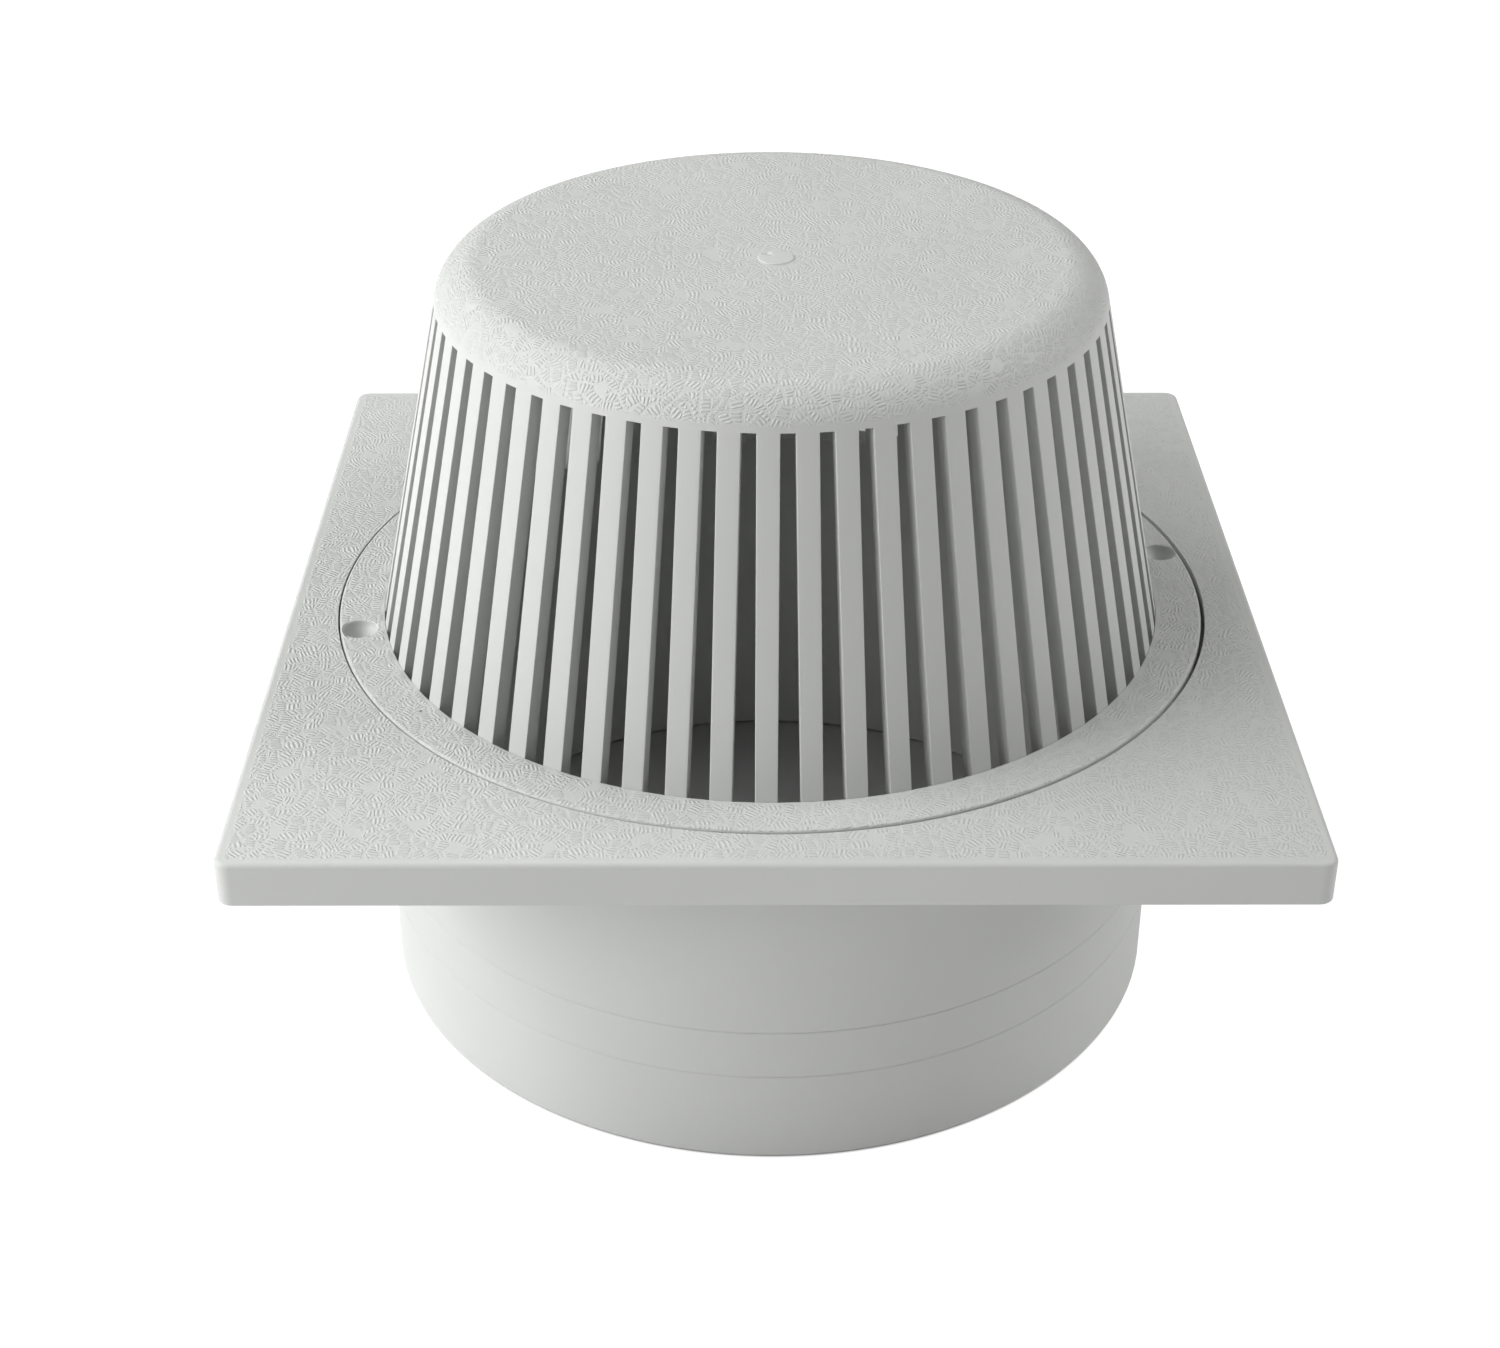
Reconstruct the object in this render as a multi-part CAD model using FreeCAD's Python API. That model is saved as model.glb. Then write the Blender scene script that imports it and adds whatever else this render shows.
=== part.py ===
"""Flat roof drain: a square flanged body with a pipe spigot, and a slotted dome grate seated in it.

Millimetres, +Z up. The origin is the centre of the spigot's open bottom end, and +Z is the axis
that the spigot, the seat and the dome share. Each moulding is one solid in its own file.
"""
import FreeCAD, Part
import math
import os

Vector = FreeCAD.Vector

# Square flange
FLANGE_LAND = 9.6
PLATE_WALL = 3.0
CORNER_RADIUS = 3.0
TOP_EDGE_RADIUS = 1.0
SKIRT_HEIGHT = 8.7
SKIRT_WALL = 2.5

# Spigot, which takes the end of a drain pipe
PIPE_DIAMETER = 160.0
PIPE_CLEARANCE = 0.2
SPIGOT_WALL = 3.0
SPIGOT_LENGTH = 74.6
SPIGOT_EDGE = 0.8

# Round seat that the grate's ring drops into
SEAT_LEDGE = 10.2
RING_THICKNESS = 3.0
RING_CLEARANCE = 0.6
RING_EDGE = 0.4
SEAT_FLOOR = 3.0
SEAT_WALL = 2.5

# Ribs in the hollow corners under the flange
RIB_THICKNESS = 2.0
RIB_SETBACK = 1.0
RIB_SPREAD = 13.0
CORNER_COUNT = 4

# Two countersunk screws hold the grate down
SCREW_COUNT = 2
SCREW_INSET = 4.0
SCREW_SHANK = 3.5
SCREW_HEAD = 7.1
SCREW_HEAD_RECESS = 1.0
SCREW_CORE = 2.8
BOSS_DIAMETER = 7.0

# Dome: a drafted basket of bars under a rounded cap
DOME_LAP = 0.3
DOME_DRAFT = 11.9
SLOT_HEIGHT = 67.9
CAP_RISE = 7.3
SHOULDER_RADIUS = 8.9
CAP_WALL = 3.0
CAP_DISH = 1.0
BAR_COUNT = 60
BAR_WIDTH = 4.2
BAR_DEPTH = 3.5
GRATE_TURN = 11.03
GRATE_SHIFT = -0.25
GATE_DIAMETER = 7.2
GATE_HEIGHT = 0.3

# Heights and radii that follow from the sizes above
FULL_TURN = 360.0
PLATE_TOP = SPIGOT_LENGTH + SKIRT_HEIGHT
SEAT_LEVEL = PLATE_TOP - RING_THICKNESS
LEDGE_BOTTOM = SEAT_LEVEL - SEAT_FLOOR
BORE_RADIUS = PIPE_DIAMETER / 2 + PIPE_CLEARANCE
SPIGOT_RADIUS = BORE_RADIUS + SPIGOT_WALL
SEAT_RADIUS = BORE_RADIUS + SEAT_LEDGE
HUB_RADIUS = SEAT_RADIUS + SEAT_WALL
RING_RADIUS = SEAT_RADIUS - RING_CLEARANCE
SCREW_RADIUS = RING_RADIUS - SCREW_INSET
DOME_FOOT_RADIUS = BORE_RADIUS + DOME_LAP
PLATE_SIDE = 2 * (SEAT_RADIUS + FLANGE_LAND)
CAP_TOP = PLATE_TOP + SLOT_HEIGHT + CAP_RISE
CAP_CENTRE = CAP_TOP - CAP_DISH
SLOT_TOP = PLATE_TOP + SLOT_HEIGHT


def point(radius, height):
    """A point of a half section, in the plane that holds the axis."""
    return Vector(radius, 0, height)


def line(start, end):
    return Part.LineSegment(start, end).toShape()


def outline(points):
    """Straight edges from point to point, left open."""
    return [line(start, end) for start, end in zip(points, points[1:])]


def turned(edges):
    """The solid that a closed half section sweeps about the axis."""
    section = Part.Face(Part.Wire(edges))
    return section.revolve(Vector(0, 0, 0), Vector(0, 0, 1), FULL_TURN)


def spun(shape, angle):
    """A copy of the shape, turned about the axis."""
    copy = shape.copy()
    copy.rotate(Vector(0, 0, 0), Vector(0, 0, 1), angle)
    return copy


def pattern(shape, count, first=0.0):
    """Copies of the shape, evenly spaced about the axis."""
    return [spun(shape, first + index * FULL_TURN / count) for index in range(count)]


def square_block(side, bottom, top):
    block = Part.makeBox(side, side, top - bottom)
    block.translate(Vector(-side / 2, -side / 2, bottom))
    return block


def cylinder(radius, bottom, top, offset=0.0):
    return Part.makeCylinder(radius, top - bottom, Vector(offset, 0, bottom))


def upright_edges(block):
    return [edge for edge in block.Edges if edge.BoundBox.ZLength > SKIRT_HEIGHT / 2]


def top_edges(block):
    middle = block.BoundBox.Center.z
    return [edge for edge in block.Edges if edge.BoundBox.ZMin > middle]


def flange():
    """The square plate with its rounded corners and down-turned skirt, hollow underneath."""
    block = square_block(PLATE_SIDE, SPIGOT_LENGTH, PLATE_TOP)
    block = block.makeFillet(CORNER_RADIUS, upright_edges(block))
    block = block.makeFillet(TOP_EDGE_RADIUS, top_edges(block))
    return block.cut(flange_hollow())


def flange_hollow():
    """The space under the plate, inside the skirt."""
    return square_block(PLATE_SIDE - 2 * SKIRT_WALL, SPIGOT_LENGTH, PLATE_TOP - PLATE_WALL)


def neck_and_spigot():
    """Seat wall, seat ledge and spigot in one turned section, with a chamfered mouth below."""
    return turned(outline([
        point(BORE_RADIUS, SPIGOT_EDGE),
        point(BORE_RADIUS + SPIGOT_EDGE, 0),
        point(SPIGOT_RADIUS - SPIGOT_EDGE, 0),
        point(SPIGOT_RADIUS, SPIGOT_EDGE),
        point(SPIGOT_RADIUS, LEDGE_BOTTOM),
        point(HUB_RADIUS, LEDGE_BOTTOM),
        point(HUB_RADIUS, PLATE_TOP),
        point(SEAT_RADIUS, PLATE_TOP),
        point(SEAT_RADIUS, SEAT_LEVEL),
        point(BORE_RADIUS, SEAT_LEVEL),
        point(BORE_RADIUS, SPIGOT_EDGE),
    ]))


def corner_ribs():
    """Three fanned ribs in each corner, from the spigot out to the skirt, set back from its rim."""
    rib_bottom = SPIGOT_LENGTH + RIB_SETBACK
    rib = Part.makeBox(PLATE_SIDE, RIB_THICKNESS, PLATE_TOP - rib_bottom)
    rib.translate(Vector(0, -RIB_THICKNESS / 2, rib_bottom))
    half_pitch = FULL_TURN / CORNER_COUNT / 2
    fan = []
    for lean in (-RIB_SPREAD, 0, RIB_SPREAD):
        fan += pattern(rib, CORNER_COUNT, half_pitch + lean)
    space = flange_hollow().cut(cylinder(BORE_RADIUS, 0, PLATE_TOP))
    return [piece.common(space) for piece in fan]


def screw_bosses():
    """Two bosses hang from the seat ledge down to the skirt's rim and take the screws."""
    boss = cylinder(BOSS_DIAMETER / 2, SPIGOT_LENGTH, SEAT_LEVEL, SCREW_RADIUS)
    return pattern(boss.cut(cylinder(BORE_RADIUS, 0, PLATE_TOP)), SCREW_COUNT, GRATE_TURN)


def screw_cores():
    """Pilot holes through the ledge and its bosses, on the same circle as the grate's holes."""
    core = cylinder(SCREW_CORE / 2, 0, PLATE_TOP, SCREW_RADIUS)
    return pattern(core, SCREW_COUNT, GRATE_TURN)


def drain_body():
    """Flange, seat and spigot are one moulding."""
    plate = flange().cut(cylinder(SEAT_RADIUS, 0, PLATE_TOP))
    body = plate.fuse([neck_and_spigot()] + corner_ribs() + screw_bosses())
    return body.cut(screw_cores()).removeSplitter()


def draft_offset(height):
    """How far the drafted wall leans in over a height above the flange."""
    return height * math.tan(math.radians(DOME_DRAFT))


def shoulder():
    """Start, middle and end of the arc that turns the drafted wall into the level rim of the cap."""
    lean = math.radians(DOME_DRAFT)
    centre_height = CAP_TOP - SHOULDER_RADIUS
    wall_radius = DOME_FOOT_RADIUS - draft_offset(centre_height - PLATE_TOP)
    centre = point(wall_radius - SHOULDER_RADIUS / math.cos(lean), centre_height)
    half_way = (lean + math.pi / 2) / 2
    return [
        centre + point(math.cos(angle), math.sin(angle)) * SHOULDER_RADIUS
        for angle in (lean, half_way, math.pi / 2)
    ]


def dome_shell():
    """Ring, drafted wall and dished cap in one turned section, before the slots are cut. The low
    pad at the middle of the cap is where the moulding was fed."""
    arc_start, arc_middle, arc_end = shoulder()
    gate_radius = GATE_DIAMETER / 2
    inner_foot = DOME_FOOT_RADIUS - BAR_DEPTH
    underside = CAP_CENTRE - CAP_WALL
    wall_and_ring = outline([
        point(0, underside),
        point(inner_foot - draft_offset(underside - PLATE_TOP), underside),
        point(inner_foot - draft_offset(SEAT_LEVEL - PLATE_TOP), SEAT_LEVEL),
        point(RING_RADIUS, SEAT_LEVEL),
        point(RING_RADIUS, PLATE_TOP - RING_EDGE),
        point(RING_RADIUS - RING_EDGE, PLATE_TOP),
        point(DOME_FOOT_RADIUS, PLATE_TOP),
        arc_start,
    ])
    cap = outline([
        arc_end,
        point(gate_radius, CAP_CENTRE),
        point(gate_radius, CAP_CENTRE + GATE_HEIGHT),
        point(0, CAP_CENTRE + GATE_HEIGHT),
        point(0, underside),
    ])
    return turned(wall_and_ring + [Part.Arc(arc_start, arc_middle, arc_end).toShape()] + cap)


def slot_width(height):
    """What the pitch leaves between two bars of even width, at a height above the flange."""
    return math.tau * (DOME_FOOT_RADIUS - draft_offset(height)) / BAR_COUNT - BAR_WIDTH


def slot_outline(bottom, top, offset):
    """The slot as seen along its middle line, narrower towards the top, at an offset from the axis."""
    low = slot_width(bottom - PLATE_TOP) / 2
    high = slot_width(top - PLATE_TOP) / 2
    corners = [
        Vector(offset, -low, bottom),
        Vector(offset, low, bottom),
        Vector(offset, high, top),
        Vector(offset, -high, top),
    ]
    return Part.Face(Part.makePolygon(corners + corners[:1]))


def slot_tools():
    """One tapered cutter, copied round the dome. It goes through the whole wall above the ring, and
    below that only as far out as the bars' feet, so that the slots run down through the ring."""
    inside = (DOME_FOOT_RADIUS - draft_offset(SLOT_HEIGHT) - BAR_DEPTH) / 2
    reach = DOME_FOOT_RADIUS + BAR_DEPTH
    foot = math.sqrt(DOME_FOOT_RADIUS ** 2 - (slot_width(0) / 2) ** 2)
    wedge = slot_outline(SEAT_LEVEL, SLOT_TOP, inside).extrude(Vector(reach - inside, 0, 0))
    corner = Vector(foot, -PLATE_SIDE / 2, SEAT_LEVEL)
    ring_land = Part.makeBox(reach - foot, PLATE_SIDE, RING_THICKNESS, corner)
    return pattern(wedge.cut(ring_land), BAR_COUNT, FULL_TURN / BAR_COUNT / 2)


def screw_holes():
    """Countersunk holes with a short straight recess, which sink the heads into the ring."""
    head = SCREW_HEAD / 2
    shank = SCREW_SHANK / 2
    cone_top = PLATE_TOP - SCREW_HEAD_RECESS
    cone_bottom = cone_top - (head - shank)
    section = outline([
        point(0, SEAT_LEVEL - SCREW_HEAD_RECESS),
        point(shank, SEAT_LEVEL - SCREW_HEAD_RECESS),
        point(shank, cone_bottom),
        point(head, cone_top),
        point(head, CAP_TOP),
        point(0, CAP_TOP),
        point(0, SEAT_LEVEL - SCREW_HEAD_RECESS),
    ])
    hole = turned(section)
    hole.translate(Vector(SCREW_RADIUS, 0, 0))
    return pattern(hole, SCREW_COUNT)


def dome_grate():
    """Ring, bars and cap are one moulding. It lies in its seat as it was dropped in, a little
    turned and over to one side of the ring's clearance."""
    grate = spun(dome_shell().cut(slot_tools() + screw_holes()), GRATE_TURN)
    grate.translate(Vector(GRATE_SHIFT, 0, 0))
    return grate


PIECES = {
    "drain_body": drain_body,
    "dome_grate": dome_grate,
}

os.makedirs("parts", exist_ok=True)
for name, make in PIECES.items():
    solid = make()
    solid.exportStep("parts/" + name + ".step")
    box = solid.optimalBoundingBox(True, False)
    print(name, "solids", len(solid.Solids), "valid", solid.isValid(), "volume", round(solid.Volume))
    print("  size", round(box.XLength, 2), round(box.YLength, 2), round(box.ZLength, 2),
          "from height", round(box.ZMin, 2))
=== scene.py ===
# %% [markdown]
# A flat roof drain stands on its spigot on a white sheet, as in a parts catalogue. It is two
# mouldings of one light grey plastic: a square flange with a pipe spigot under it, and a dome
# grate that lies in the flange's round seat. This first step brings in the finished solids. They
# are the reference for every size, so their boxes are measured before anything is dressed.

# %% The solids and their boxes
import math

import bmesh
import bpy
from mathutils import Matrix, Vector


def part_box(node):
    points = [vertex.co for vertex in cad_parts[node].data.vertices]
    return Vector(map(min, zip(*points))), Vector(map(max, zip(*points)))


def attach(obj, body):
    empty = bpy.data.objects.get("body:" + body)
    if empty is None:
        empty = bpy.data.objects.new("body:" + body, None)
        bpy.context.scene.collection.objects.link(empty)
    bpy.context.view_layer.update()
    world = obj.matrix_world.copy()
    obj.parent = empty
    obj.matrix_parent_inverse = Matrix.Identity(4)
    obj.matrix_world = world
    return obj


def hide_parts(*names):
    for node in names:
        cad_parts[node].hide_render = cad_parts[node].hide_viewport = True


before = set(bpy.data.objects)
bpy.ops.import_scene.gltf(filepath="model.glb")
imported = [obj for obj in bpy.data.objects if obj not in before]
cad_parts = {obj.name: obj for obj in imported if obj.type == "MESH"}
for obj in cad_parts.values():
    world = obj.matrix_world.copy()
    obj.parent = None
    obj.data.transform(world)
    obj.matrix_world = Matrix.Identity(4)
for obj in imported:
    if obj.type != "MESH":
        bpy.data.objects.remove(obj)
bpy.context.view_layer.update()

body_low, body_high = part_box("drain_body")
grate_low, grate_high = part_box("dome_grate")
for name, low, high in (("body", body_low, body_high), ("grate", grate_low, grate_high)):
    print(name, "from", tuple(round(v, 4) for v in low), "to", tuple(round(v, 4) for v in high))

# %% [markdown]
# The camera comes next, because each finish is judged through it. The drain was photographed from
# the front and a little above, with the lens of a product shot. The place and angle were worked
# out from the square flange, which shows its own perspective. A camera could also be placed by
# eye, but then no edge would lie where the picture has it.

# %% Camera
MM = 0.001
CAMERA_PLACE = Vector((-5.4, -462.4, 340.4)) * MM
CAMERA_PITCH = math.radians(30.99)
CAMERA_YAW = math.radians(0.12)
LENS_LENGTH = 60.2

lens = bpy.data.cameras.new("product_camera")
lens.lens = LENS_LENGTH
camera = bpy.data.objects.new("product_camera", lens)
bpy.context.scene.collection.objects.link(camera)
camera.location = CAMERA_PLACE
camera.rotation_euler = (math.pi / 2 - CAMERA_PITCH, 0, -CAMERA_YAW)
bpy.context.scene.camera = camera
print("camera at", tuple(round(v, 3) for v in camera.location))

# %% [markdown]
# The light is a plain studio of large soft boxes. The surround is white to the eye, but gives
# hardly any light, as in a large dark room with a white backdrop. The boxes on the left make the
# left side of every round form nearly white, and a weak one on the right leaves that side grey.
# Two high ones light the flat tops from both sides. A box straight overhead would be simpler, but
# it would shine down into the narrow gap round the ring, which is dark on the real drain, and it
# would wash out the fine texture.

# %% Surround and soft boxes
SURROUND_STRENGTH = 0.03
OBJECT_CENTRE = Vector((0, 0, 0.09))
SOFTBOXES = (
    ("left", (-0.95, -0.2, 0.52), 0.7, 6.3),
    ("front_left", (-0.8, -0.7, 0.6), 0.6, 3.7),
    ("back_left", (-0.7, 0.9, 0.8), 0.7, 4.7),
    ("right", (1.2, -0.3, 0.5), 0.7, 1.2),
    ("high_left", (-0.7, 0.0, 1.1), 0.7, 5.5),
    ("high_right", (0.9, 0.1, 0.95), 0.8, 8.0),
)


def add_node(tree, kind, **settings):
    """A node with its settings. Inputs that are given by name or number take a value or a link."""
    node = tree.nodes.new(kind)
    inputs = settings.pop("inputs", {})
    for name, value in settings.items():
        setattr(node, name, value)
    for key, value in inputs.items():
        if isinstance(value, bpy.types.NodeSocket):
            tree.links.new(value, node.inputs[key])
        else:
            node.inputs[key].default_value = value
    return node


def seen_by_camera(tree, value_elsewhere):
    """One where the camera looks, and the given value for all other light."""
    looked_at = add_node(tree, "ShaderNodeLightPath").outputs["Is Camera Ray"]
    node = add_node(tree, "ShaderNodeMapRange",
                    inputs={"Value": looked_at, "To Min": value_elsewhere})
    return node.outputs["Result"]


world = bpy.data.worlds.new("white_surround")
world.use_nodes = True
surround = world.node_tree.nodes["Background"]
surround.inputs["Color"].default_value = (1, 1, 1, 1)
world.node_tree.links.new(
    seen_by_camera(world.node_tree, SURROUND_STRENGTH), surround.inputs["Strength"])
bpy.context.scene.world = world
bpy.context.scene.view_settings.view_transform = "Standard"


def add_softbox(name, place, size, power):
    light = bpy.data.lights.new(name, "AREA")
    light.shape = "SQUARE"
    light.size = size
    light.energy = power
    box = bpy.data.objects.new(name, light)
    bpy.context.scene.collection.objects.link(box)
    box.location = place
    box.rotation_euler = (OBJECT_CENTRE - box.location).to_track_quat("-Z", "Y").to_euler()


for name, place, size, power in SOFTBOXES:
    add_softbox("softbox_" + name, place, size, power)
    print(name, "softbox", size, "m wide", power, "W")

# %% [markdown]
# The floor is a sheet of white paper. A catalogue picture is exposed until the paper is pure
# white, so the paper glows, most of it for the camera alone. The rest lights the spigot from
# below, as a lit table does. Under the spigot's mouth the paper is painted shade: a darker grey
# that does not glow, standing in for the shade where the drain shuts the light out.

# %% White floor
FLOOR_SIZE = 6.0
PAPER_GREY = 0.95
PAPER_PAINTED_SHADE_GREY = 0.45
PAPER_ROUGHNESS = 0.9
SPIGOT_INSIDE = 82.4 * MM
MOUTH_EDGE = 0.7 * MM
PAPER_GLOW = 1.25
PAPER_GLOW_SHARE = 0.72
GLOW_ON_OBJECT = 0.2


def math_node(tree, operation, first, second=0.0, third=0.0):
    node = add_node(tree, "ShaderNodeMath", operation=operation,
                    inputs={0: first, 1: second, 2: third})
    return node.outputs[0]


def past_the_mouth(tree, value_inside, value_outside):
    """A value that changes at the inner edge of the spigot's mouth."""
    place = add_node(tree, "ShaderNodeTexCoord").outputs["Object"]
    from_axis = add_node(tree, "ShaderNodeVectorMath", operation="LENGTH", inputs={0: place})
    node = add_node(tree, "ShaderNodeMapRange", inputs={
        "Value": from_axis.outputs["Value"],
        "From Min": SPIGOT_INSIDE, "From Max": SPIGOT_INSIDE + MOUTH_EDGE,
        "To Min": value_inside, "To Max": value_outside})
    return node.outputs["Result"]


def white_paper():
    material = bpy.data.materials.new("white_paper")
    material.use_nodes = True
    tree = material.node_tree
    shader = tree.nodes["Principled BSDF"]
    shader.inputs["Roughness"].default_value = PAPER_ROUGHNESS
    # Painted shade inside the spigot's mouth: a darker grey here, and no glow in the share below.
    tree.links.new(past_the_mouth(tree, PAPER_PAINTED_SHADE_GREY, PAPER_GREY), shader.inputs["Base Color"])
    glow = add_node(tree, "ShaderNodeEmission", inputs={"Strength": PAPER_GLOW})
    share_of_glow = math_node(tree, "MULTIPLY", seen_by_camera(tree, GLOW_ON_OBJECT),
                              past_the_mouth(tree, 0.0, PAPER_GLOW_SHARE))
    mixed = add_node(tree, "ShaderNodeMixShader", inputs={
        0: share_of_glow, 1: shader.outputs[0], 2: glow.outputs[0]})
    tree.links.new(mixed.outputs[0], tree.nodes["Material Output"].inputs["Surface"])
    return material


floor_mesh = bpy.data.meshes.new("white_sheet")
half_floor = FLOOR_SIZE / 2
floor_mesh.from_pydata(
    [(-half_floor, -half_floor, 0), (half_floor, -half_floor, 0),
     (half_floor, half_floor, 0), (-half_floor, half_floor, 0)], [], [(0, 1, 2, 3)])
floor = bpy.data.objects.new("white_sheet", floor_mesh)
bpy.context.scene.collection.objects.link(floor)
floor_mesh.materials.append(white_paper())
print("floor", FLOOR_SIZE, "m square")

# %% [markdown]
# The surface is one satin plastic, moulded in a tool whose flat faces were etched with a hatch:
# little groups of short parallel ridges, each group turned its own way, with a smooth patch here
# and there. Modelling each ridge would work, but they are only about a tenth of a millimetre high,
# so a bump is enough. The pattern is a node group, because both mouldings carry it. Each cell of
# a cell texture is one group of ridges. The cell's random colour turns a cosine wave, and a slower
# wave along the ridges breaks them into short strokes. The distance to the cell's edge ends them
# before they meet the next group.

# %% Hatch group
RIDGE_PITCH = 0.82 * MM
GROUP_SIZE = 2.8 * MM
STROKE_LENGTH = 2.7 * MM
WANDER = 0.8 * MM
STROKE_ENDS = (-0.95, -0.45)
BORDER_FADE = (0.0, 0.12)
SMOOTH_PATCHES = (0.0, 0.12)


def smooth_step(tree, value, start, end):
    node = add_node(tree, "ShaderNodeMapRange", interpolation_type="SMOOTHSTEP",
                    inputs={"Value": value, "From Min": start, "From Max": end})
    return node.outputs["Result"]


def hatch_group():
    """Height of the etched ridges, from nought to one, at a place on the surface in metres."""
    tree = bpy.data.node_groups.new("hatch", "ShaderNodeTree")
    tree.interface.new_socket("Place", in_out="INPUT", socket_type="NodeSocketVector")
    for name, value in (("Pitch", RIDGE_PITCH), ("Stroke", STROKE_LENGTH),
                        ("Group Size", GROUP_SIZE), ("Wander", WANDER)):
        socket = tree.interface.new_socket(name, in_out="INPUT", socket_type="NodeSocketFloat")
        socket.default_value = value
    tree.interface.new_socket("Height", in_out="OUTPUT", socket_type="NodeSocketFloat")
    group_in = tree.nodes.new("NodeGroupInput")
    group_out = tree.nodes.new("NodeGroupOutput")
    place, pitch = group_in.outputs["Place"], group_in.outputs["Pitch"]
    stroke = group_in.outputs["Stroke"]
    size, wander = group_in.outputs["Group Size"], group_in.outputs["Wander"]

    waves_per_group = math_node(tree, "DIVIDE", 1.0, size)
    drift = add_node(tree, "ShaderNodeTexNoise", noise_dimensions="2D",
                     inputs={"Vector": place, "Scale": waves_per_group, "Detail": 1.0})
    centred = add_node(tree, "ShaderNodeVectorMath", operation="SUBTRACT",
                       inputs={0: drift.outputs["Color"], 1: (0.5, 0.5, 0.5)})
    bent = add_node(tree, "ShaderNodeVectorMath", operation="SCALE",
                    inputs={0: centred.outputs["Vector"], "Scale": wander})
    moved = add_node(tree, "ShaderNodeVectorMath", operation="ADD",
                     inputs={0: place, 1: bent.outputs["Vector"]}).outputs["Vector"]

    laid_out = {"Vector": moved, "Scale": waves_per_group, "Randomness": 1.0}
    cells = add_node(tree, "ShaderNodeTexVoronoi", voronoi_dimensions="2D", inputs=laid_out)
    borders = add_node(tree, "ShaderNodeTexVoronoi", voronoi_dimensions="2D",
                       feature="DISTANCE_TO_EDGE", inputs=laid_out)
    chance = add_node(tree, "ShaderNodeSeparateColor", inputs={"Color": cells.outputs["Color"]})
    angle = math_node(tree, "MULTIPLY", chance.outputs["Red"], math.tau)
    turned = add_node(tree, "ShaderNodeVectorRotate", rotation_type="Z_AXIS",
                      inputs={"Vector": moved, "Angle": angle})
    across = add_node(tree, "ShaderNodeSeparateXYZ", inputs={"Vector": turned.outputs["Vector"]})
    turns = math_node(tree, "DIVIDE", across.outputs["X"], pitch)
    wave = math_node(tree, "COSINE", math_node(tree, "MULTIPLY", turns, math.tau))
    ridge = math_node(tree, "MULTIPLY_ADD", wave, 0.5, 0.5)
    along = math_node(tree, "DIVIDE", across.outputs["Y"], stroke)
    beat = math_node(tree, "COSINE", math_node(tree, "MULTIPLY", along, math.tau))
    broken = smooth_step(tree, beat, *STROKE_ENDS)
    inside = smooth_step(tree, borders.outputs["Distance"], *BORDER_FADE)
    chosen = smooth_step(tree, chance.outputs["Green"], *SMOOTH_PATCHES)
    height = ridge
    for share_kept in (broken, inside, chosen):
        height = math_node(tree, "MULTIPLY", height, share_kept)
    tree.links.new(height, group_out.inputs["Height"])
    return tree


hatch = hatch_group()
print("hatch group has", len(hatch.nodes), "nodes")

# %% [markdown]
# Each moulding gets its own material, because the record gives each its own slot, but both are
# the same plastic. The hatch is only on the faces that the etched part of the tool touched, so a
# mask built from the place on the object lets it through: the flat top of the flange to within a
# millimetre or two of its edges, the ring, and the cap down to the smooth band over the slots.

# %% Plastic
PLASTIC_COLOUR = (0.60, 0.61, 0.595)
PLASTIC_ROUGHNESS = 0.5
CLOUD_SCALE = 22.0
CLOUD_RANGE = (0.3, 0.7)
COLOUR_SWING = 0.015
ROUGHNESS_SWING = 0.04
RIDGE_HEIGHT = 0.13 * MM
GRAIN_HEIGHT = 0.004 * MM
GRAIN_SIZE = 0.35 * MM
PLATE_TOP = body_high.z
PLATE_HALF = body_high.x
PLAIN_MARGIN = 1.8 * MM
SLOT_HEIGHT = 67.9 * MM
SLOT_TOP = PLATE_TOP + SLOT_HEIGHT
PLAIN_BAND = 1.4 * MM
DOME_FOOT_RADIUS = 80.5 * MM
RING_PROUD = 0.25 * MM
RING_TOP = PLATE_TOP + RING_PROUD
FADE = 0.6 * MM


def level_mask(tree, height, low, high):
    """One between two heights and nought elsewhere, with a short fade."""
    above = smooth_step(tree, height, low - FADE / 4, low)
    below = smooth_step(tree, height, high + FADE / 4, high)
    return math_node(tree, "MULTIPLY", above, below)


def plate_mask(tree, xyz):
    """The top of the flange, short of its edges."""
    across = math_node(tree, "MAXIMUM", math_node(tree, "ABSOLUTE", xyz.outputs["X"]),
                       math_node(tree, "ABSOLUTE", xyz.outputs["Y"]))
    land = smooth_step(tree, across, PLATE_HALF - PLAIN_MARGIN, PLATE_HALF - PLAIN_MARGIN - FADE)
    top = smooth_step(tree, xyz.outputs["Z"], PLATE_TOP - FADE / 2, PLATE_TOP - FADE / 4)
    return math_node(tree, "MULTIPLY", land, top)


def grate_mask(tree, xyz):
    """The top of the ring, and the cap down to the smooth band."""
    ring = level_mask(tree, xyz.outputs["Z"], RING_TOP - FADE / 8, RING_TOP + FADE / 8)
    in_plan = add_node(tree, "ShaderNodeCombineXYZ",
                       inputs={"X": xyz.outputs["X"], "Y": xyz.outputs["Y"]})
    from_axis = add_node(tree, "ShaderNodeVectorMath", operation="LENGTH",
                         inputs={0: in_plan.outputs[0]}).outputs["Value"]
    land = smooth_step(tree, from_axis, DOME_FOOT_RADIUS + FADE, DOME_FOOT_RADIUS + FADE * 2)
    band_top = SLOT_TOP + PLAIN_BAND
    cap = smooth_step(tree, xyz.outputs["Z"], band_top - FADE, band_top + FADE)
    return math_node(tree, "MAXIMUM", math_node(tree, "MULTIPLY", ring, land), cap)


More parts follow.
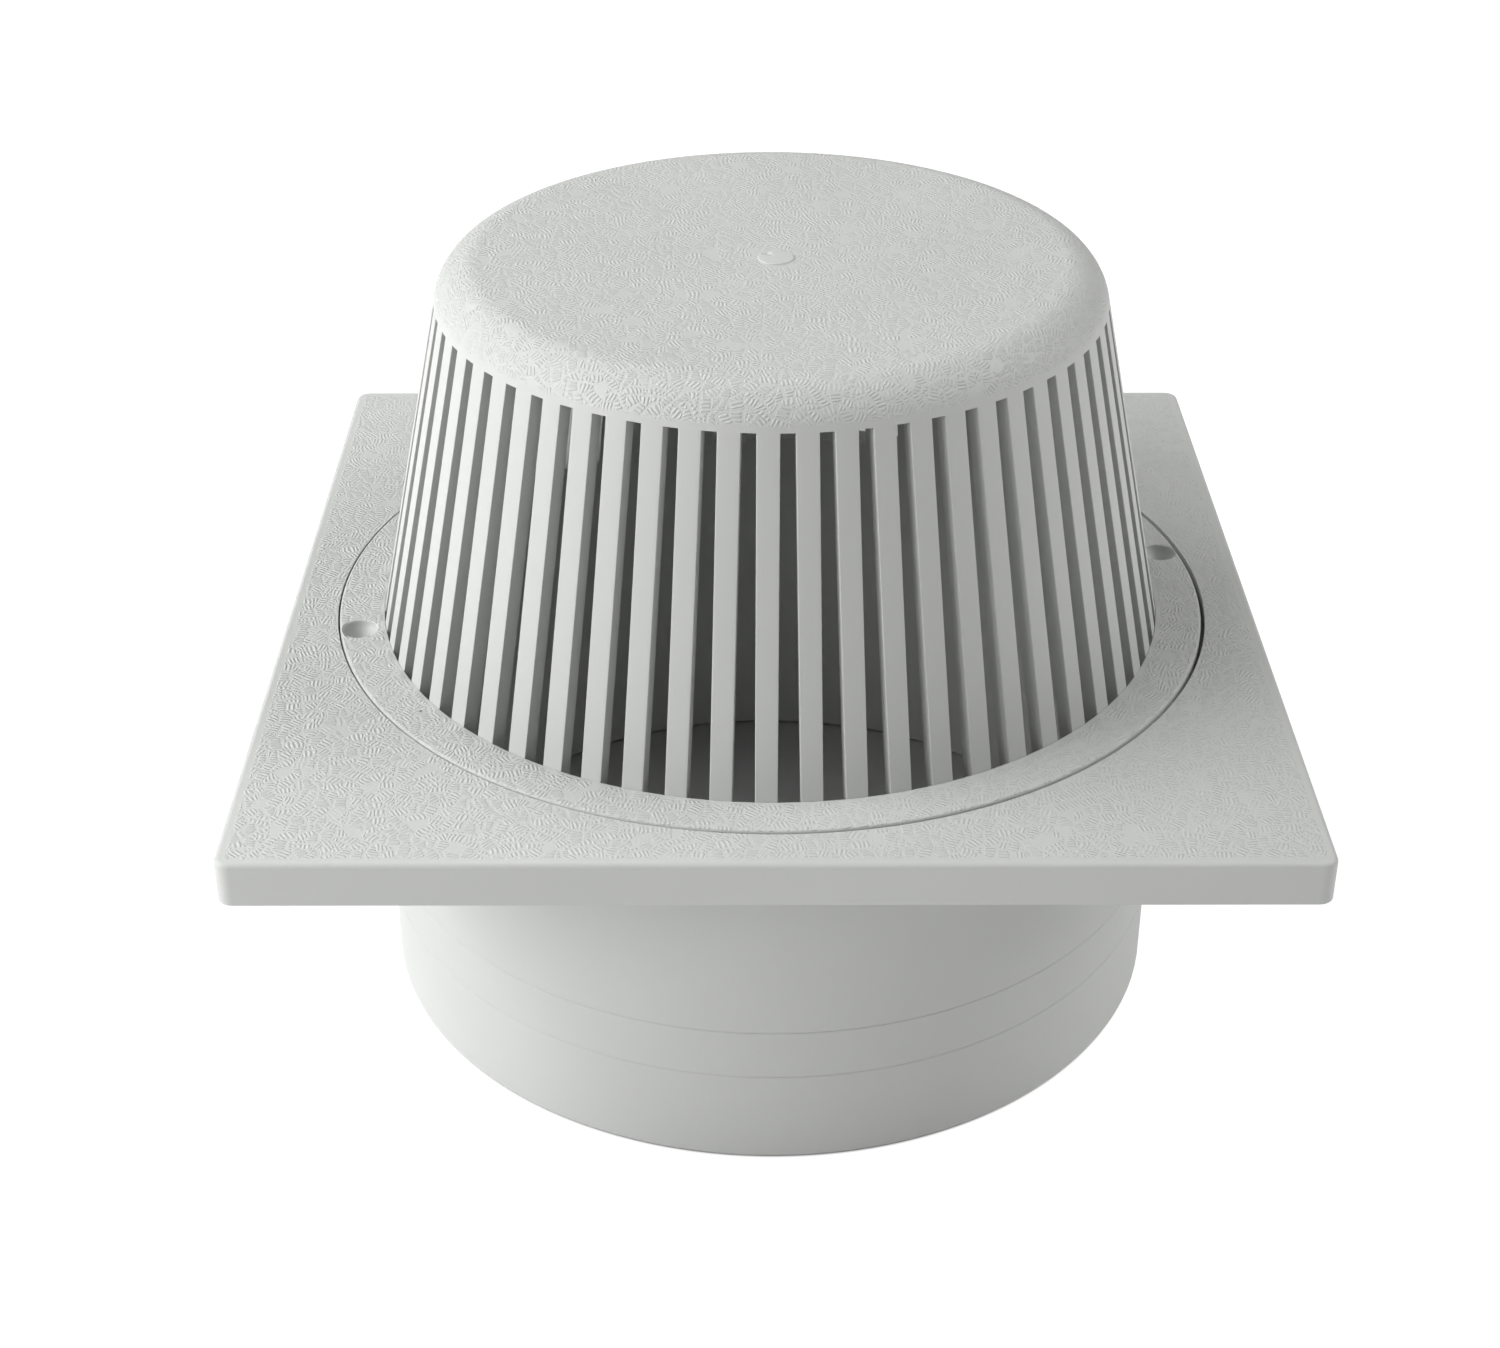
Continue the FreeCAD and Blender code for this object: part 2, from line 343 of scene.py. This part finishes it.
def varied(tree, cloud, middle, swing):
    """A value that drifts about its middle with the cloud."""
    node = add_node(tree, "ShaderNodeMapRange", inputs={
        "Value": cloud, "From Min": CLOUD_RANGE[0], "From Max": CLOUD_RANGE[1],
        "To Min": middle - swing, "To Max": middle + swing})
    return node.outputs["Result"]


def plastic(name, mask_of=None, lay_attribute=None):
    """Satin plastic. The mask says where the hatch is, and the attribute holds its flat map."""
    material = bpy.data.materials.new(name + "_finish")
    material.use_nodes = True
    tree = material.node_tree
    shader = tree.nodes["Principled BSDF"]
    coordinates = tree.nodes.new("ShaderNodeTexCoord").outputs["Object"]
    xyz = add_node(tree, "ShaderNodeSeparateXYZ", inputs={"Vector": coordinates})
    grain = add_node(tree, "ShaderNodeTexNoise",
                     inputs={"Vector": coordinates, "Scale": 1 / GRAIN_SIZE, "Detail": 2.0})
    relief = add_node(tree, "ShaderNodeBump", inputs={
        "Strength": 1.0, "Distance": GRAIN_HEIGHT, "Height": grain.outputs["Fac"]})
    if mask_of:
        lay = coordinates
        if lay_attribute:
            lay = add_node(tree, "ShaderNodeAttribute",
                           attribute_name=lay_attribute).outputs["Vector"]
        ridges = add_node(tree, "ShaderNodeGroup", node_tree=hatch, inputs={"Place": lay})
        etched = math_node(tree, "MULTIPLY", ridges.outputs["Height"], mask_of(tree, xyz))
        relief = add_node(tree, "ShaderNodeBump", inputs={
            "Strength": 1.0, "Distance": RIDGE_HEIGHT, "Height": etched,
            "Normal": relief.outputs["Normal"]})
    tree.links.new(relief.outputs["Normal"], shader.inputs["Normal"])

    cloud = add_node(tree, "ShaderNodeTexNoise", inputs={
        "Vector": coordinates, "Scale": CLOUD_SCALE, "Detail": 3.0}).outputs["Fac"]
    colour = add_node(tree, "ShaderNodeVectorMath", operation="SCALE",
                      inputs={0: PLASTIC_COLOUR, "Scale": varied(tree, cloud, 1.0, COLOUR_SWING)})
    tree.links.new(colour.outputs["Vector"], shader.inputs["Base Color"])
    gloss = varied(tree, cloud, PLASTIC_ROUGHNESS, ROUGHNESS_SWING)
    tree.links.new(gloss, shader.inputs["Roughness"])
    return material


body_plastic = plastic("body", plate_mask)
ring_plastic = plastic("ring", grate_mask)
dome_plastic = plastic("dome", grate_mask, "lay")
plain_plastic = plastic("plain")
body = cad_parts["drain_body"]
body.data.materials.clear()
body.data.materials.append(body_plastic)
print("materials", body_plastic.name, ring_plastic.name, dome_plastic.name, plain_plastic.name)

# %% [markdown]
# The dome grate is sixty bars under a cap. Its wall leans in, the bars keep one width, and so the
# slots between them narrow towards the top. Such a shape follows a rule, so only one sixtieth of
# it is modelled: a wedge of the dome's section with one slot in its middle. A boolean cuts the
# slot, and its edges are rounded once. Cutting all sixty at once would also work, but it is slow
# and each cut could go wrong.

# %% One slot's share of the dome
BAR_COUNT = 60
BAR_WIDTH = 4.2 * MM
BAR_DEPTH = 3.5 * MM
DOME_DRAFT = math.radians(11.9)
CAP_RISE = 7.3 * MM
SHOULDER_RADIUS = 8.9 * MM
CAP_WALL = 3.0 * MM
CAP_DISH = 1.0 * MM
EDGE_ROUND = 0.15 * MM
SEAT_LEVEL = grate_low.z
CAP_TOP = SLOT_TOP + CAP_RISE
CAP_CENTRE = CAP_TOP - CAP_DISH
SHARE = math.tau / BAR_COUNT
STEPS_PER_SHARE = 6
SHOULDER_STEPS = 12
CREASE = math.radians(25)
TOUCH = 1e-6


def wall_offset(height):
    """How far the wall has leaned in at a height, from the flange's top."""
    return (height - PLATE_TOP) * math.tan(DOME_DRAFT)


def slot_width(height):
    return SHARE * (DOME_FOOT_RADIUS - wall_offset(height)) - BAR_WIDTH


def dome_section():
    """Radius and height of each corner of the dome's half section, from the axis and back."""
    centre_height = CAP_TOP - SHOULDER_RADIUS
    centre_radius = (DOME_FOOT_RADIUS - wall_offset(centre_height)
                     - SHOULDER_RADIUS / math.cos(DOME_DRAFT))
    shoulder = []
    for step in range(SHOULDER_STEPS + 1):
        angle = DOME_DRAFT + (math.pi / 2 - DOME_DRAFT) * step / SHOULDER_STEPS
        shoulder.append((centre_radius + SHOULDER_RADIUS * math.cos(angle),
                         centre_height + SHOULDER_RADIUS * math.sin(angle)))
    underside = CAP_CENTRE - CAP_WALL
    inner_foot = DOME_FOOT_RADIUS - BAR_DEPTH
    return ([(0, underside), (inner_foot - wall_offset(underside), underside),
             (inner_foot - wall_offset(SEAT_LEVEL), SEAT_LEVEL), (DOME_FOOT_RADIUS, SEAT_LEVEL),
             (DOME_FOOT_RADIUS, PLATE_TOP)] + shoulder + [(0, CAP_CENTRE)])


def new_object(name, mesh):
    made = bpy.data.objects.new(name, mesh)
    bpy.context.scene.collection.objects.link(made)
    return made


def add_row(form, section, angle):
    """The section's points, stood up at an angle about the axis."""
    return [form.verts.new((r * math.cos(angle), r * math.sin(angle), z)) for r, z in section]


def join_rows(form, rows, whole):
    """Faces from each row to the next. A whole turn also closes the last on the first."""
    for row, following in zip(rows, rows[1:] + rows[:1] if whole else rows[1:]):
        for index in range(len(row)):
            after = (index + 1) % len(row)
            form.faces.new((row[index], following[index], following[after], row[after]))


def to_mesh(form, name):
    mesh = bpy.data.meshes.new(name)
    form.to_mesh(mesh)
    form.free()
    return mesh


def turned_mesh(name, section, steps, sweep=math.tau, start=0.0):
    """A closed solid from a half section turned about the axis. A whole turn closes on itself."""
    whole = math.isclose(sweep, math.tau)
    form = bmesh.new()
    stations = steps if whole else steps + 1
    rows = [add_row(form, section, start + sweep * station / steps) for station in range(stations)]
    join_rows(form, rows, whole)
    if not whole:
        form.faces.new(rows[0])
        form.faces.new(reversed(rows[-1]))
    bmesh.ops.remove_doubles(form, verts=form.verts, dist=TOUCH / 10)
    bmesh.ops.recalc_face_normals(form, faces=form.faces)
    return to_mesh(form, name)


def evaluated_mesh(thing):
    """The object's mesh with its modifiers carried out, as plain data."""
    graph = bpy.context.evaluated_depsgraph_get()
    return bpy.data.meshes.new_from_object(thing.evaluated_get(graph))


def cut(thing, cutter):
    """Takes the cutter's solid away and removes the cutter."""
    step = thing.modifiers.new("cut", "BOOLEAN")
    step.operation = "DIFFERENCE"
    step.solver = "EXACT"
    step.object = cutter
    mesh = evaluated_mesh(thing)
    thing.modifiers.clear()
    thing.data = mesh
    bpy.data.objects.remove(cutter)


def slot_cutter():
    """A tapered block that stands across the wall, a little longer than the wall is deep."""
    near, far = DOME_FOOT_RADIUS / 2, DOME_FOOT_RADIUS + CAP_WALL
    block = bmesh.new()
    for x in (near, far):
        for height in (SEAT_LEVEL - CAP_WALL, SLOT_TOP):
            half = slot_width(height) / 2
            block.verts.new((x, -half, height))
            block.verts.new((x, half, height))
    bmesh.ops.convex_hull(block, input=block.verts)
    return new_object("slot_cutter", to_mesh(block, "slot_cutter"))


def on_cut_plane(vertex):
    """True on either of the two upright planes where this share meets the next ones."""
    return abs(abs(vertex.co.y) - abs(vertex.co.x) * math.tan(SHARE / 2)) < TOUCH


def beside_slot(vertex):
    """True in the slot's range of heights, away from the axis."""
    return SEAT_LEVEL - FADE < vertex.co.z < SLOT_TOP + FADE and vertex.co.x > CAP_TOP / 4


def on_seat(vertex):
    return abs(vertex.co.z - SEAT_LEVEL) < TOUCH


share = new_object(
    "dome_share", turned_mesh("dome_share", dome_section(), STEPS_PER_SHARE, SHARE, -SHARE / 2))
cut(share, slot_cutter())

form = bmesh.new()
form.from_mesh(share.data)
end_faces = [face for face in form.faces
             if all(on_cut_plane(vertex) for vertex in face.verts) and abs(face.normal.y) > 0.9]
bmesh.ops.delete(form, geom=end_faces, context="FACES")
slot_edges = [edge for edge in form.edges
              if len(edge.link_faces) == 2 and edge.calc_face_angle(0) > CREASE
              and all(beside_slot(vertex) for vertex in edge.verts)
              and not all(on_seat(vertex) for vertex in edge.verts)]
bmesh.ops.bevel(form, geom=slot_edges, offset=EDGE_ROUND, segments=2, profile=0.5, affect="EDGES")
form.to_mesh(share.data)
form.free()
print("share", len(share.data.vertices), "points,", len(end_faces), "end faces taken off,",
      len(slot_edges), "edges rounded")

# %% [markdown]
# Geometry Nodes now turn that share round the axis sixty times. The tree makes one point for each
# slot, turns an instance of the share by its number, makes the instances real and welds them
# where they meet. An array modifier with an empty could do the same, but the tree keeps the count
# and the grate's small turn in its seat as inputs that can be read and changed.

# %% Sixty shares round the axis
GRATE_TURN = math.radians(11.03)
GRATE_SHIFT = (grate_low.x + grate_high.x) / 2
WELD = 0.004 * MM


def geometry_tree(name, inputs):
    """A tree with a geometry in and out and the named inputs between."""
    tree = bpy.data.node_groups.new(name, "GeometryNodeTree")
    tree.interface.new_socket("Geometry", in_out="INPUT", socket_type="NodeSocketGeometry")
    for label, kind in inputs:
        tree.interface.new_socket(label, in_out="INPUT", socket_type=kind)
    tree.interface.new_socket("Geometry", in_out="OUTPUT", socket_type="NodeSocketGeometry")
    return tree, tree.nodes.new("NodeGroupInput").outputs, tree.nodes.new("NodeGroupOutput")


def run_tree(thing, tree, values):
    """Puts the tree on the object with these inputs and keeps the mesh that it makes."""
    step = thing.modifiers.new(tree.name, "NODES")
    step.node_group = tree
    sockets = {item.name: item.identifier for item in tree.interface.items_tree
               if item.in_out == "INPUT"}
    for label, value in values.items():
        step[sockets[label]] = value
    mesh = evaluated_mesh(thing)
    thing.modifiers.clear()
    thing.data = mesh


def round_the_axis_tree():
    tree, given, result = geometry_tree("round_the_axis", (
        ("Count", "NodeSocketInt"), ("First Angle", "NodeSocketFloat"),
        ("Shift", "NodeSocketFloat"), ("Weld", "NodeSocketFloat"),
        ("Material", "NodeSocketMaterial")))
    points = add_node(tree, "GeometryNodePoints", inputs={"Count": given["Count"]})
    number = tree.nodes.new("GeometryNodeInputIndex").outputs["Index"]
    pitch = math_node(tree, "DIVIDE", math.tau, given["Count"])
    angle = math_node(tree, "ADD", math_node(tree, "MULTIPLY", number, pitch), given["First Angle"])
    rotation = add_node(tree, "ShaderNodeCombineXYZ", inputs={"Z": angle})
    instances = add_node(tree, "GeometryNodeInstanceOnPoints", inputs={
        "Points": points.outputs[0], "Instance": given["Geometry"],
        "Rotation": rotation.outputs[0]})
    real = add_node(tree, "GeometryNodeRealizeInstances", inputs={"Geometry": instances.outputs[0]})
    welded = add_node(tree, "GeometryNodeMergeByDistance", inputs={
        "Geometry": real.outputs[0], "Distance": given["Weld"]})
    offset = add_node(tree, "ShaderNodeCombineXYZ", inputs={"X": given["Shift"]})
    placed = add_node(tree, "GeometryNodeSetPosition", inputs={
        "Geometry": welded.outputs[0], "Offset": offset.outputs[0]})
    dressed = add_node(tree, "GeometryNodeSetMaterial", inputs={
        "Geometry": placed.outputs[0], "Material": given["Material"]})
    tree.links.new(dressed.outputs[0], result.inputs["Geometry"])
    return tree


run_tree(share, round_the_axis_tree(), {
    "Count": BAR_COUNT, "First Angle": GRATE_TURN + SHARE / 2, "Shift": GRATE_SHIFT,
    "Weld": WELD, "Material": dome_plastic})
dome = share
dome.name = "dome_bars_and_cap"
print("dome", len(dome.data.vertices), "points", len(dome.data.polygons), "faces")

# %% [markdown]
# The hatch follows the cap over its round shoulder, so it needs a flat map of that surface. Each
# point is laid out at its distance from the axis along the surface, like a skin peeled off from
# the middle. Plain object coordinates would stretch the ridges on the shoulder.

# %% Lay of the cap's skin
SKIN_PER_DROP = 0.8


def skin_distance(radius, height):
    """Distance from the axis along the outer skin, which falls away over the shoulder."""
    return radius + max(0.0, CAP_TOP - height) * SKIN_PER_DROP


lay = dome.data.attributes.new("lay", "FLOAT_VECTOR", "POINT")
for vertex, value in zip(dome.data.vertices, lay.data):
    x, y, z = vertex.co
    radius = math.hypot(x, y) or 1.0
    stretch = skin_distance(radius, z) / radius
    value.vector = (x * stretch, y * stretch, 0)
print("lay for", len(lay.data), "points")

# %% [markdown]
# The ring is the grate's foot. It is a flat washer with a rounded rim that stands a hair proud of
# the flange, so the rim catches the light along the seam. Its inner edge is sixty short flats,
# where the slots run down through it. Two countersunk holes take the screws that hold the grate
# down. The holes are cut with a turned cutter that has the section of the screw's head, with a
# small flare where the tool left the edge soft.

# %% Ring with countersunk holes
RING_RADIUS = (grate_high.x - grate_low.x) / 2
RING_EDGE = 0.6 * MM
RIM_ARC = ((0.0, 1.0), (0.08, 0.62), (0.3, 0.3), (0.62, 0.08), (1.0, 0.0))
SCREW_RADIUS = RING_RADIUS - 4.0 * MM
HOLE_HEAD = 3.55 * MM
HOLE_SHANK = 1.75 * MM
HOLE_RECESS = 1.0 * MM
HOLE_FLARE = 0.25 * MM
HOLE_STEPS = 64
STEPS_PER_FLAT = 8
SCREW_COUNT = 2


def ring_mesh():
    """The washer, with the inner edge on flats that face the slots."""
    flat = math.sqrt(DOME_FOOT_RADIUS ** 2 - (slot_width(PLATE_TOP) / 2) ** 2)
    rim = [(RING_RADIUS - RING_EDGE * inward, RING_TOP - RING_EDGE * down)
           for inward, down in RIM_ARC]
    form = bmesh.new()
    rows = []
    for step in range(BAR_COUNT * STEPS_PER_FLAT):
        angle = SHARE * step / STEPS_PER_FLAT
        inner = flat / math.cos((angle % SHARE) - SHARE / 2)
        section = ([(inner, SEAT_LEVEL), (RING_RADIUS, SEAT_LEVEL)] + rim
                   + [(inner + RING_EDGE / 8, RING_TOP), (inner, RING_TOP - RING_EDGE / 8)])
        rows.append(add_row(form, section, angle))
    join_rows(form, rows, whole=True)
    bmesh.ops.recalc_face_normals(form, faces=form.faces)
    return to_mesh(form, "grate_ring")


def screw_hole_cutter(angle):
    """The screw's shank, cone and recess as one turned solid, at its place on the ring."""
    cone_top = PLATE_TOP - HOLE_RECESS
    above = RING_TOP + HOLE_RECESS
    mouth = HOLE_HEAD + HOLE_FLARE * 1.2
    section = [(0, SEAT_LEVEL - HOLE_RECESS), (HOLE_SHANK, SEAT_LEVEL - HOLE_RECESS),
               (HOLE_SHANK, cone_top - (HOLE_HEAD - HOLE_SHANK)), (HOLE_HEAD, cone_top),
               (HOLE_HEAD, RING_TOP - HOLE_FLARE), (mouth, RING_TOP), (mouth, above), (0, above)]
    cutter = new_object("screw_hole", turned_mesh("screw_hole", section, HOLE_STEPS))
    cutter.data.transform(Matrix.Translation(
        (SCREW_RADIUS * math.cos(angle), SCREW_RADIUS * math.sin(angle), 0)))
    return cutter


ring = new_object("grate_ring", ring_mesh())
for number in range(SCREW_COUNT):
    cut(ring, screw_hole_cutter(math.tau * number / SCREW_COUNT))
ring.data.transform(Matrix.Translation((GRATE_SHIFT, 0, 0)) @ Matrix.Rotation(GRATE_TURN, 4, "Z"))
print("ring", len(ring.data.vertices), "points")

# %% [markdown]
# The plastic flowed into the tool through the middle of the cap. The low round pad there hid the
# stub that was broken off, and the stub left a small pit in it. A second pit, on the ring, is the
# mark of a pin that pushed the moulding out of its tool. Both pits are shallow bowls cut with the
# same kind of turned cutter. A dark spot in the material would look flat from any other side.

# %% Feed pad and pits
PAD_RADIUS = 3.6 * MM
PAD_HEIGHT = 0.35 * MM
PAD_PLACE = Vector((0.65 * MM, -0.1 * MM, CAP_CENTRE))
PAD_PIT = Vector((-1.2 * MM, 2.0 * MM, CAP_CENTRE + PAD_HEIGHT))
PAD_PIT_RADIUS = 1.0 * MM
RING_PIT = Vector((-68.3 * MM, -48.6 * MM, RING_TOP))
RING_PIT_RADIUS = 0.45 * MM
PIT_DEPTH = 0.5 * MM
PIT_STEPS = 24


def pit_cutter(place, radius):
    """A shallow bowl that reaches down from its place."""
    section = [(0, -PIT_DEPTH), (radius * 0.6, -PIT_DEPTH * 0.7), (radius, 0),
               (radius, PIT_DEPTH), (0, PIT_DEPTH)]
    cutter = new_object("pit", turned_mesh("pit", section, PIT_STEPS))
    cutter.data.transform(Matrix.Translation(place))
    return cutter


pad_section = [(0, -PAD_HEIGHT), (PAD_RADIUS, -PAD_HEIGHT), (PAD_RADIUS, PAD_HEIGHT * 0.4),
               (PAD_RADIUS - PAD_HEIGHT * 0.25, PAD_HEIGHT * 0.82),
               (PAD_RADIUS - PAD_HEIGHT * 0.8, PAD_HEIGHT), (0, PAD_HEIGHT)]
pad = new_object("feed_pad", turned_mesh("feed_pad", pad_section, HOLE_STEPS))
pad.data.transform(Matrix.Translation(PAD_PLACE))
cut(pad, pit_cutter(PAD_PIT, PAD_PIT_RADIUS))
cut(ring, pit_cutter(RING_PIT, RING_PIT_RADIUS))
for piece, finish in ((ring, ring_plastic), (pad, plain_plastic)):
    piece.data.materials.clear()
    piece.data.materials.append(finish)
print("pad", len(pad.data.vertices), "points, ring", len(ring.data.vertices), "points")

# %% [markdown]
# Two hair-fine raised lines run round the spigot, where the tool was turned in steps. Each is a
# circle that carries a tiny three-sided section, sunk by half into the wall with its flat side
# down, so that only the side that faces up is seen, and it catches the light. Geometry Nodes make
# both lines from one tree, with their count and spacing as inputs.

# %% Fine lines round the spigot
SPIGOT_RADIUS = 83.2 * MM
LINE_COUNT = 2
FIRST_LINE = 20.7 * MM
LINE_SPACING = 10.9 * MM
LINE_THICKNESS = 0.12 * MM
SECTION_TURN = math.radians(30)
LINE_STEPS = 256
SECTION_CORNERS = 3


def fine_lines_tree():
    tree, given, result = geometry_tree("fine_lines", (
        ("Count", "NodeSocketInt"), ("Radius", "NodeSocketFloat"),
        ("First Height", "NodeSocketFloat"), ("Spacing", "NodeSocketFloat"),
        ("Thickness", "NodeSocketFloat"), ("Material", "NodeSocketMaterial")))
    first = add_node(tree, "ShaderNodeCombineXYZ", inputs={"Z": given["First Height"]})
    step = add_node(tree, "ShaderNodeCombineXYZ", inputs={"Z": given["Spacing"]})
    points = add_node(tree, "GeometryNodeMeshLine", inputs={
        "Count": given["Count"], "Start Location": first.outputs[0], "Offset": step.outputs[0]})
    path = add_node(tree, "GeometryNodeCurvePrimitiveCircle", inputs={
        "Resolution": LINE_STEPS, "Radius": given["Radius"]})
    triangle = add_node(tree, "GeometryNodeCurvePrimitiveCircle", inputs={
        "Resolution": SECTION_CORNERS, "Radius": given["Thickness"]})
    section = add_node(tree, "GeometryNodeTransform", inputs={
        "Geometry": triangle.outputs["Curve"], "Rotation": (0, 0, SECTION_TURN)})
    line = add_node(tree, "GeometryNodeCurveToMesh", inputs={
        "Curve": path.outputs["Curve"], "Profile Curve": section.outputs[0]})
    lines = add_node(tree, "GeometryNodeInstanceOnPoints", inputs={
        "Points": points.outputs[0], "Instance": line.outputs[0]})
    real = add_node(tree, "GeometryNodeRealizeInstances", inputs={"Geometry": lines.outputs[0]})
    dressed = add_node(tree, "GeometryNodeSetMaterial", inputs={
        "Geometry": real.outputs[0], "Material": given["Material"]})
    tree.links.new(dressed.outputs[0], result.inputs["Geometry"])
    return tree


lines = new_object("spigot_lines", bpy.data.meshes.new("spigot_lines"))
run_tree(lines, fine_lines_tree(), {
    "Count": LINE_COUNT, "Radius": SPIGOT_RADIUS, "First Height": FIRST_LINE,
    "Spacing": LINE_SPACING, "Thickness": LINE_THICKNESS, "Material": plain_plastic})
line_points = [vertex.co for vertex in lines.data.vertices]
line_heights = sorted({round(point.z / MM, 2) for point in line_points})
line_radii = sorted({round(point.xy.length / MM, 2) for point in line_points})
print("lines", len(line_points), "points")
print("heights", line_heights, "and radii", line_radii, "in mm")

# %% [markdown]
# Smooth shading with a weighted normal on each face keeps the wide faces flat and lets only the
# narrow rounded edges catch the light, as on a real moulding.

# %% Shading of the edges
SHARP = math.radians(50)


def shade(thing):
    thing.data.shade_smooth()
    thing.data.set_sharp_from_angle(angle=SHARP)
    weigh = thing.modifiers.new("flat_faces", "WEIGHTED_NORMAL")
    weigh.keep_sharp = True
    mesh = evaluated_mesh(thing)
    thing.modifiers.clear()
    thing.data = mesh


for piece in (dome, ring, pad):
    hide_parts("dome_grate")
for piece in (dome, ring, pad, lines):
    shade(piece)
    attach(piece, "root")
    print(piece.name, len(piece.data.polygons), "faces")
